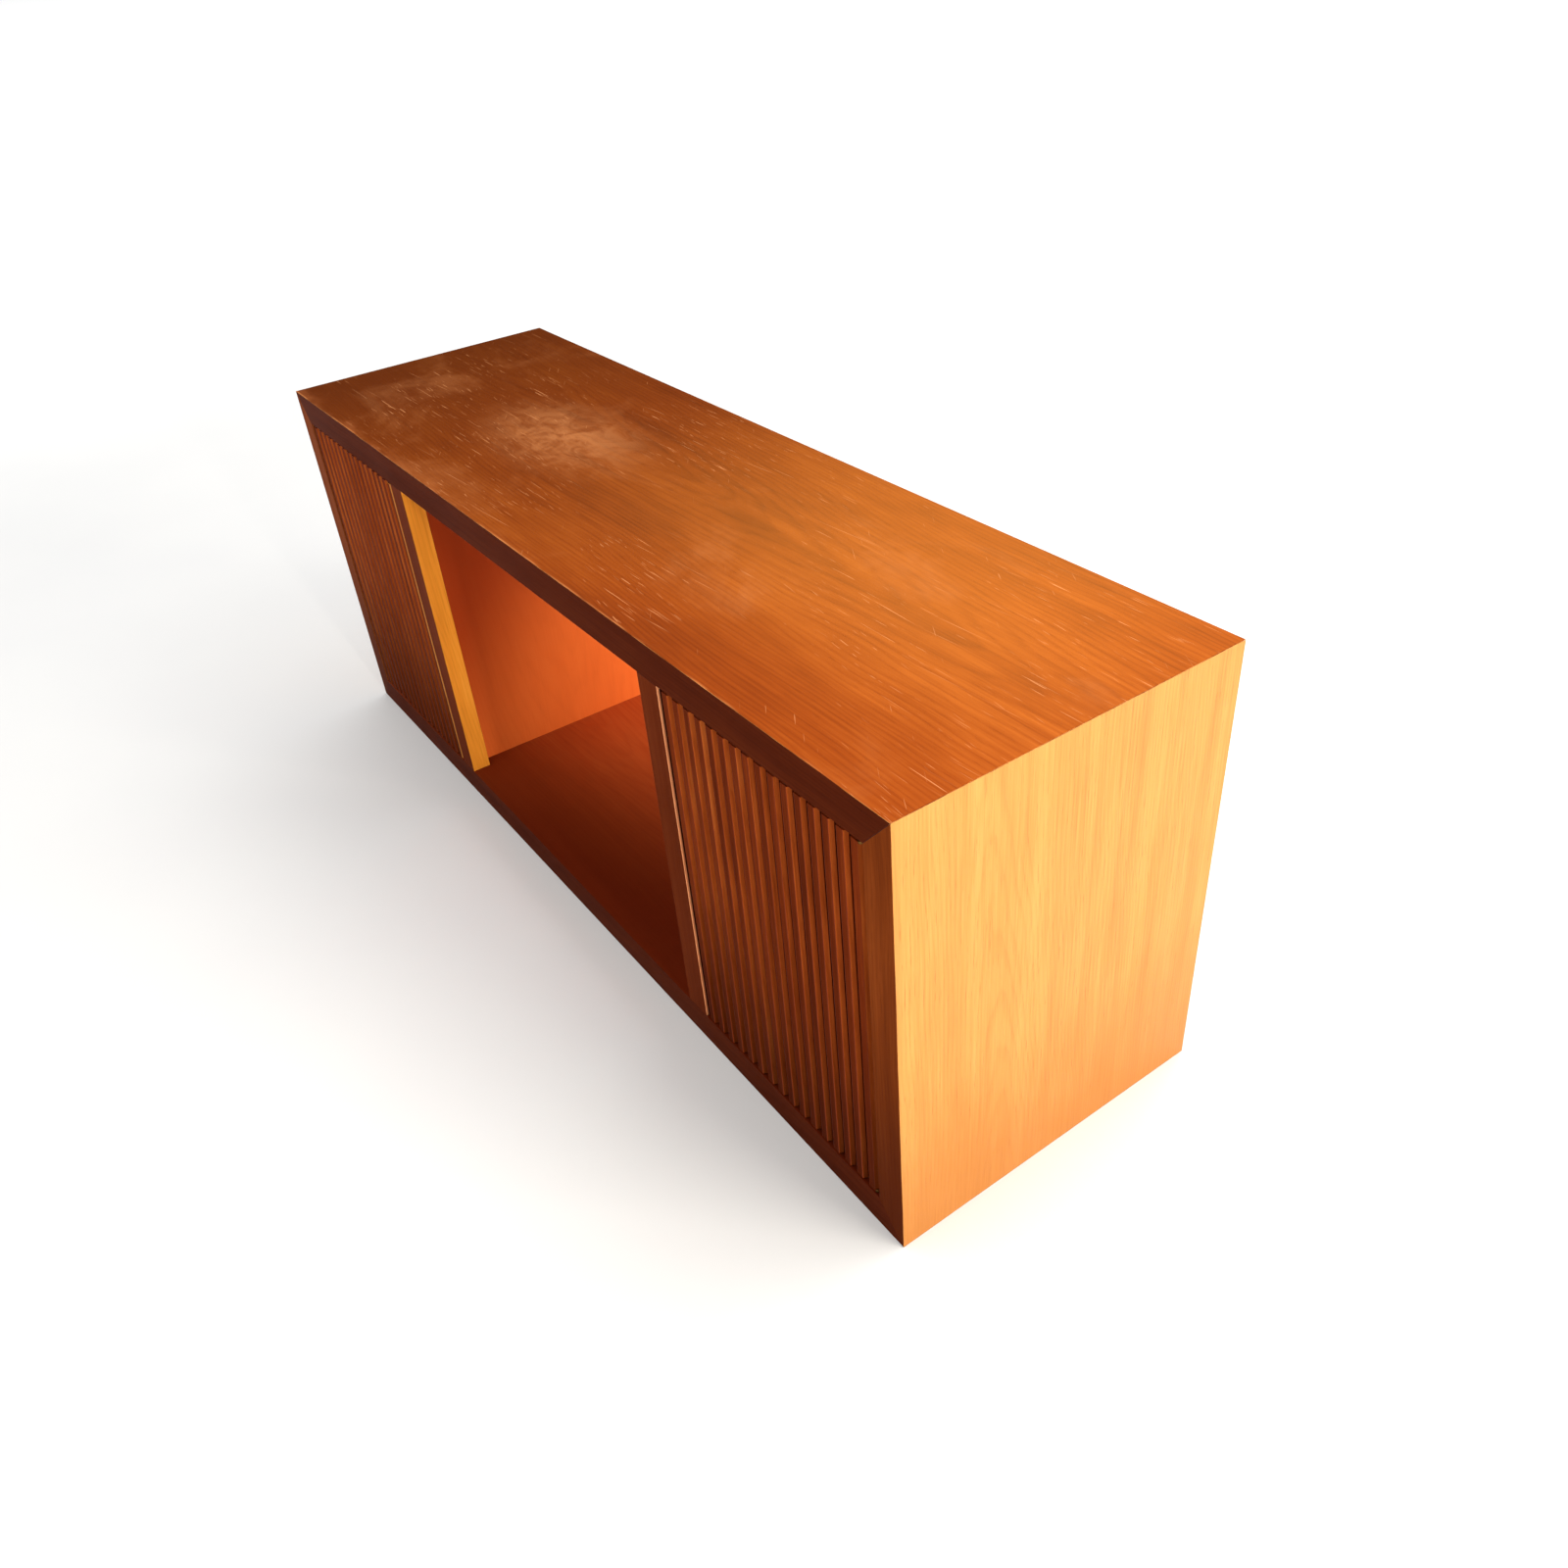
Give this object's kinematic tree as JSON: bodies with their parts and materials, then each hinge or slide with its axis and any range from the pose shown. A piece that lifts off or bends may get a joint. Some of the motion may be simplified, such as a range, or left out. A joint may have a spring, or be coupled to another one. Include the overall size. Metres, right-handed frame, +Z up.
{
  "type": "storage cabinet",
  "caption": "Low wooden storage cabinet: mitred box, open centre bay that goes right through, and a side bay at each end behind a ribbed, inset, swinging door.",
  "frame": {"origin": "on the floor, under the middle of the cabinet", "axes": "+X along the length, -Y out of the front with the doors, +Z up"},
  "size_m": [1.58, 0.46, 0.6],
  "materials": {
    "top_wood": "satin",
    "bottom_wood": "satin",
    "side_wood": "satin",
    "inner_wood": "satin",
    "stile_wood": "satin",
    "back_wood": "matte",
    "door_wood": "satin",
    "rib_wood": "satin",
    "hinge_brass": "satin",
    "catch_plastic": "matte",
    "strike_steel": "satin"
  },
  "bodies": {
    "cabinet": {"top_panel": "top_wood", "bottom_panel": "bottom_wood", "left_side_panel": "side_wood", "left_divider": "inner_wood", "left_stile": "stile_wood", "left_back_panel": "back_wood", "left_shelf": "inner_wood", "left_magnetic_catch": "catch_plastic", "left_top_hinge_frame_leaf": "hinge_brass", "left_bottom_hinge_frame_leaf": "hinge_brass", "right_side_panel": "side_wood", "right_divider": "inner_wood", "right_stile": "stile_wood", "right_back_panel": "back_wood", "right_shelf": "inner_wood", "right_magnetic_catch": "catch_plastic", "right_top_hinge_frame_leaf": "hinge_brass", "right_bottom_hinge_frame_leaf": "hinge_brass"},
    "left_door": {"left_top_hinge_door_leaf": "hinge_brass", "left_bottom_hinge_door_leaf": "hinge_brass", "left_door_core": "door_wood", "left_strike_plate": "strike_steel", "left_door_rib_01": "rib_wood", "left_door_rib_02": "rib_wood", "left_door_rib_03": "rib_wood", "left_door_rib_04": "rib_wood", "left_door_rib_05": "rib_wood", "left_door_rib_06": "rib_wood", "left_door_rib_07": "rib_wood", "left_door_rib_08": "rib_wood", "left_door_rib_09": "rib_wood", "left_door_rib_10": "rib_wood", "left_door_rib_11": "rib_wood", "left_door_rib_12": "rib_wood", "left_door_rib_13": "rib_wood", "left_door_rib_14": "rib_wood", "left_door_rib_15": "rib_wood", "left_door_rib_16": "rib_wood"},
    "right_door": {"right_top_hinge_door_leaf": "hinge_brass", "right_bottom_hinge_door_leaf": "hinge_brass", "right_door_core": "door_wood", "right_strike_plate": "strike_steel", "right_door_rib_01": "rib_wood", "right_door_rib_02": "rib_wood", "right_door_rib_03": "rib_wood", "right_door_rib_04": "rib_wood", "right_door_rib_05": "rib_wood", "right_door_rib_06": "rib_wood", "right_door_rib_07": "rib_wood", "right_door_rib_08": "rib_wood", "right_door_rib_09": "rib_wood", "right_door_rib_10": "rib_wood", "right_door_rib_11": "rib_wood", "right_door_rib_12": "rib_wood", "right_door_rib_13": "rib_wood", "right_door_rib_14": "rib_wood", "right_door_rib_15": "rib_wood", "right_door_rib_16": "rib_wood"}
  },
  "joints": [
    {"name": "left_door_hinge", "type": "hinge", "parent": "cabinet", "child": "left_door", "pos_m": [-0.74, -0.224, 0.3], "axis": [0, 0, -1], "range_deg": [0, 105]},
    {"name": "right_door_hinge", "type": "hinge", "parent": "cabinet", "child": "right_door", "pos_m": [0.74, -0.224, 0.3], "axis": [0, 0, 1], "range_deg": [0, 105]}
  ]
}
